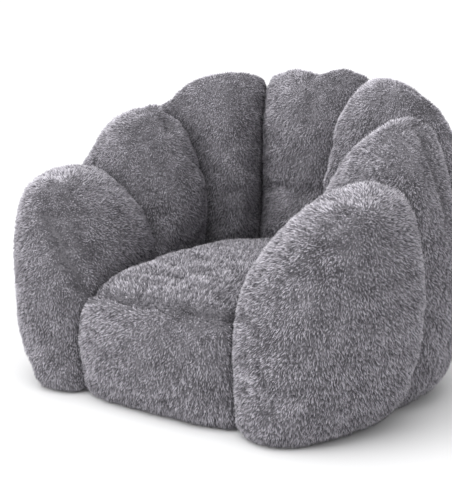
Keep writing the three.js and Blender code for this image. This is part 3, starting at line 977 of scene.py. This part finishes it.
def makePlate(low, high):
    plate = addBox(low, high)
    editOnly(plate, "FACE", lambda middle, normal: True)
    bpy.ops.mesh.bisect(plane_co=((low[0] + high[0]) / 2, 0, 0), plane_no=(1, 0, 0))
    leaveEdit()
    editOnly(plate, "FACE", lambda middle, normal: normal.x > mostly)
    bpy.ops.transform.resize(value=(1, 1, slider["tail"]))
    leaveEdit()
    roundEdges(plate, slider["nose"], lambda middle, along:
               abs(along.y) > mostly and abs(middle.x - low[0]) < close)
    return plate


def makeSlider():
    low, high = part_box("zip_slider")
    middleX, middleZ = (low.x + high.x) / 2, (low.z + high.z) / 2
    topOut = high.y - slider["archRoof"] - slider["archInside"] - slider["plate"]
    body = makePlate((low.x, low.y, low.z), (high.x, low.y + slider["plate"], high.z))
    over = makePlate((low.x, topOut, low.z), (high.x, topOut + slider["plate"], high.z))
    for side in (-1, 1):
        edge = high.z if side > 0 else low.z
        rows = sorted((edge, edge - side * slider["flange"]))
        lip = addBox((low.x + slider["flangeStart"], topOut - slider["flangeDrop"], rows[0]),
                     (middleX, topOut + slider["flangeSunk"], rows[1]))
        combine(over, lip, "UNION")
    web = addBox((low.x, low.y + slider["webSunk"], middleZ - slider["web"] / 2),
                 (low.x + slider["webLong"], topOut + slider["webSunk"], middleZ + slider["web"] / 2))
    arch = addBox((middleX - slider["archHalf"], topOut + slider["plate"] - slider["archFoot"],
                   middleZ - slider["archWide"] / 2),
                  (middleX + slider["archHalf"], high.y, middleZ + slider["archWide"] / 2))
    roundEdges(arch, slider["archTop"], lambda middle, along:
               abs(along.z) > mostly and middle.y > high.y - close)
    inner = slider["archHalf"] - slider["archWall"]
    eye = addBox((middleX - inner, topOut + slider["plate"], low.z),
                 (middleX + inner, high.y - slider["archRoof"], high.z))
    combine(arch, eye, "DIFFERENCE")
    for part in (over, web, arch):
        combine(body, part, "UNION")
    finishEdges(body, slider["soften"])
    return place(body, "zip_slider_body", "zip_slider", "zip_metal", metalMaterial, "zip_slider")


# pull: a tab with a round end, a window for the arch and a shallow grip on both sides

pull = {"window": 0.0052, "bar": 0.0014, "rim": 0.0019, "through": 0.001, "end": (0.0034, 6),
        "neck": (0.0007, 2), "gripIn": 0.0017, "gripStart": 0.0105, "gripDeep": 0.0003,
        "gripCorner": (0.0015, 4), "soften": 0.00022}


def makePull():
    low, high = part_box("zip_pull")
    tab = addBox(low, high)
    roundEdges(tab, pull["end"], lambda middle, along:
               abs(along.y) > mostly and middle.x > high.x - close)
    roundEdges(tab, pull["neck"], lambda middle, along:
               abs(along.y) > mostly and middle.x < low.x + close)
    windowStart = low.x + pull["bar"]
    window = addBox((windowStart, low.y - pull["through"], low.z + pull["rim"]),
                    (windowStart + pull["window"], high.y + pull["through"], high.z - pull["rim"]))
    combine(tab, window, "DIFFERENCE")
    for side in (low.y, high.y):
        grip = addBox((low.x + pull["gripStart"], side - pull["gripDeep"], low.z + pull["gripIn"]),
                      (high.x - pull["gripIn"], side + pull["gripDeep"], high.z - pull["gripIn"]))
        roundEdges(grip, pull["gripCorner"], lambda middle, along: abs(along.y) > mostly)
        combine(tab, grip, "DIFFERENCE")
    finishEdges(tab, pull["soften"])
    return place(tab, "zip_pull_tab", "zip_pull", "zip_metal", metalMaterial, "zip_pull")


makeSlider()
makePull()
print("zip built")


# care label: a blank satin rectangle laid on the back and sewn down all round

# one stitch, a short thread along x whose ends are narrower
def makeStitch():
    selectNone()
    bpy.ops.mesh.primitive_cylinder_add(vertices=6, radius=label["thread"],
                                        depth=label["stitch"], end_fill_type="TRIFAN")
    stitch = bpy.context.object
    stitch.rotation_euler = (0, math.pi / 2, 0)
    bpy.ops.object.transform_apply(location=False, rotation=True, scale=False)
    editOnly(stitch, "FACE", lambda middle, normal: abs(normal.x) > mostly)
    bpy.ops.transform.resize(value=(1, label["threadEnds"], label["threadEnds"]))
    leaveEdit()
    return stitch


def makeLabel():
    (lowX, lowZ), (highX, highZ) = label["low"], label["high"]
    middle = ((lowX + highX) / 2, label["drawnAt"], (lowZ + highZ) / 2)
    cellsX, cellsY = label["cells"]
    selectNone()
    bpy.ops.mesh.primitive_grid_add(x_subdivisions=cellsX, y_subdivisions=cellsY, size=1,
                                    location=middle, rotation=(-math.pi / 2, 0, 0))
    cloth = bpy.context.object
    cloth.scale = (highX - lowX, highZ - lowZ, 1)
    bpy.ops.object.transform_apply(location=True, rotation=True, scale=True)
    tree = treeOf(pads["back_centre"])

    def onPad(x, z, above):
        found, normal, _, _ = tree.ray_cast(Vector((x, label["seenFrom"], z)), Vector((0, -1, 0)))
        return found + normal * above

    for vertex in cloth.data.vertices:
        vertex.co = onPad(vertex.co.x, vertex.co.z, label["above"])
    cloth.data.update()
    thick = cloth.modifiers.new("Solidify", "SOLIDIFY")
    thick.thickness = label["thick"]
    thick.offset = -1
    applyAll(cloth)
    editOnly(cloth, "FACE", lambda middle, normal: True)
    bpy.ops.mesh.normals_make_consistent(inside=False)
    leaveEdit()
    finishEdges(cloth, label["soften"])
    place(cloth, "care_label_cloth", "chair", "label", labelMaterial, "care_label")

    seamIn = label["seamIn"]
    corners = [(lowX + seamIn, lowZ + seamIn), (highX - seamIn, lowZ + seamIn),
               (highX - seamIn, highZ - seamIn), (lowX + seamIn, highZ - seamIn)]
    first = makeStitch()
    shape = first.data.copy()
    stitches = []
    for start, end in zip(corners, corners[1:] + corners[:1]):
        run = Vector(end) - Vector(start)
        for number in range(int(run.length / label["pitch"])):
            spot = Vector(start) + run.normalized() * (number + 0.5) * label["pitch"]
            at = onPad(spot.x, spot.y, label["above"] + label["thread"] * label["threadUp"])
            stitches.append(newObject("stitch", shape.copy()) if stitches else first)
            turn = Matrix.Rotation(-math.atan2(run.y, run.x), 4, "Y")
            stitches[-1].data.transform(Matrix.Translation(at) @ turn)
    sewing = join(stitches, "care_label_stitches")
    smoothUpTo(label["smoothBelow"])
    place(sewing, "care_label_stitches", "chair", "label", threadMaterial)
    return cloth


makeLabel()


# base: a flat cloth panel with a raised binding round its edge underneath

base = {"flatBelow": 1, "within": (0.90, 0.92, 1), "binding": 0.014, "raised": 0.0008,
        "soften": 0.0008}


def makeBase():
    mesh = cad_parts["base_panel"].data.copy()
    mesh.materials.clear()
    panel = newObject("base_panel_cloth", mesh)
    editOnly(panel, "FACE", lambda middle, normal: True)
    bpy.ops.mesh.remove_doubles(threshold=close)
    bpy.ops.mesh.dissolve_limited(angle_limit=math.radians(base["flatBelow"]))
    bpy.ops.transform.resize(value=base["within"])
    leaveEdit()
    editOnly(panel, "FACE", lambda middle, normal: normal.z < -mostly)
    bpy.ops.mesh.inset(thickness=base["binding"], depth=0)
    bpy.ops.transform.translate(value=(0, 0, base["raised"]))
    leaveEdit()
    finishEdges(panel, base["soften"])
    place(panel, "base_panel_cloth", "chair", "base_cloth", baseMaterial, "base_panel")
    return panel


makeBase()
print("details built")


# floor and light

ground = {"size": 60, "colour": (0.65, 0.65, 0.655, 1), "roughness": 0.9}


def makeFloor(settings):
    material, nodes, _ = newMaterial("white_floor")
    setInputs(nodes["Principled BSDF"], {"Base Color": settings["colour"],
                                         "Roughness": settings["roughness"],
                                         "Specular IOR Level": 0})
    bpy.ops.mesh.primitive_plane_add(size=settings["size"])
    floor = bpy.context.object
    floor.name = "floor"
    floor.data.materials.append(material)
    return floor


makeFloor(ground)

# wide soft lights: where each shines from and how broad it looks
lamps = {
    "key": {"from": (-0.18, -0.30, 1.0), "spread": 60, "strength": 2.1},
    "front": {"from": (-0.75, -0.92, 0.42), "spread": 40, "strength": 1.0},
}


def addLamp(name, settings):
    towards = Vector(settings["from"])
    bpy.ops.object.light_add(type="SUN", location=towards * 3)
    light = bpy.context.object
    light.name = name
    light.data.angle = math.radians(settings["spread"])
    light.data.energy = settings["strength"]
    light.rotation_euler = (-towards).to_track_quat("-Z", "Y").to_euler()


for name, settings in lamps.items():
    addLamp(name, settings)

# the surround lights the chair most from `towards` and looks even
surround = {"seen": 1.1, "least": 0.33, "most": 1.45, "towards": (-0.3, -0.6, 0.75)}


def makeWorld(settings):
    world = bpy.data.worlds.new("studio")
    bpy.context.scene.world = world
    world.use_nodes = True
    nodes, links = world.node_tree.nodes, world.node_tree.links
    spot = addNode(nodes, "TexCoord")
    facing = addNode(nodes, "VectorMath", {1: settings["towards"]}, operation="DOT_PRODUCT")
    lighting = addNode(nodes, "MapRange", {"From Min": -1, "To Min": settings["least"],
                                           "To Max": settings["most"]})
    rays = addNode(nodes, "LightPath")
    choice = addNode(nodes, "Mix", {"B": settings["seen"]})
    background = nodes["Background"]
    setInputs(background, {"Color": (1, 1, 1, 1)})
    linkAll(links, (spot, "Generated", facing, 0), (facing, "Value", lighting, "Value"),
            (rays, "Is Camera Ray", choice, "Factor"), (lighting, "Result", choice, "A"),
            (choice, "Result", background, "Strength"))


makeWorld(surround)
bpy.context.scene.view_settings.view_transform = "Standard"

print("done")
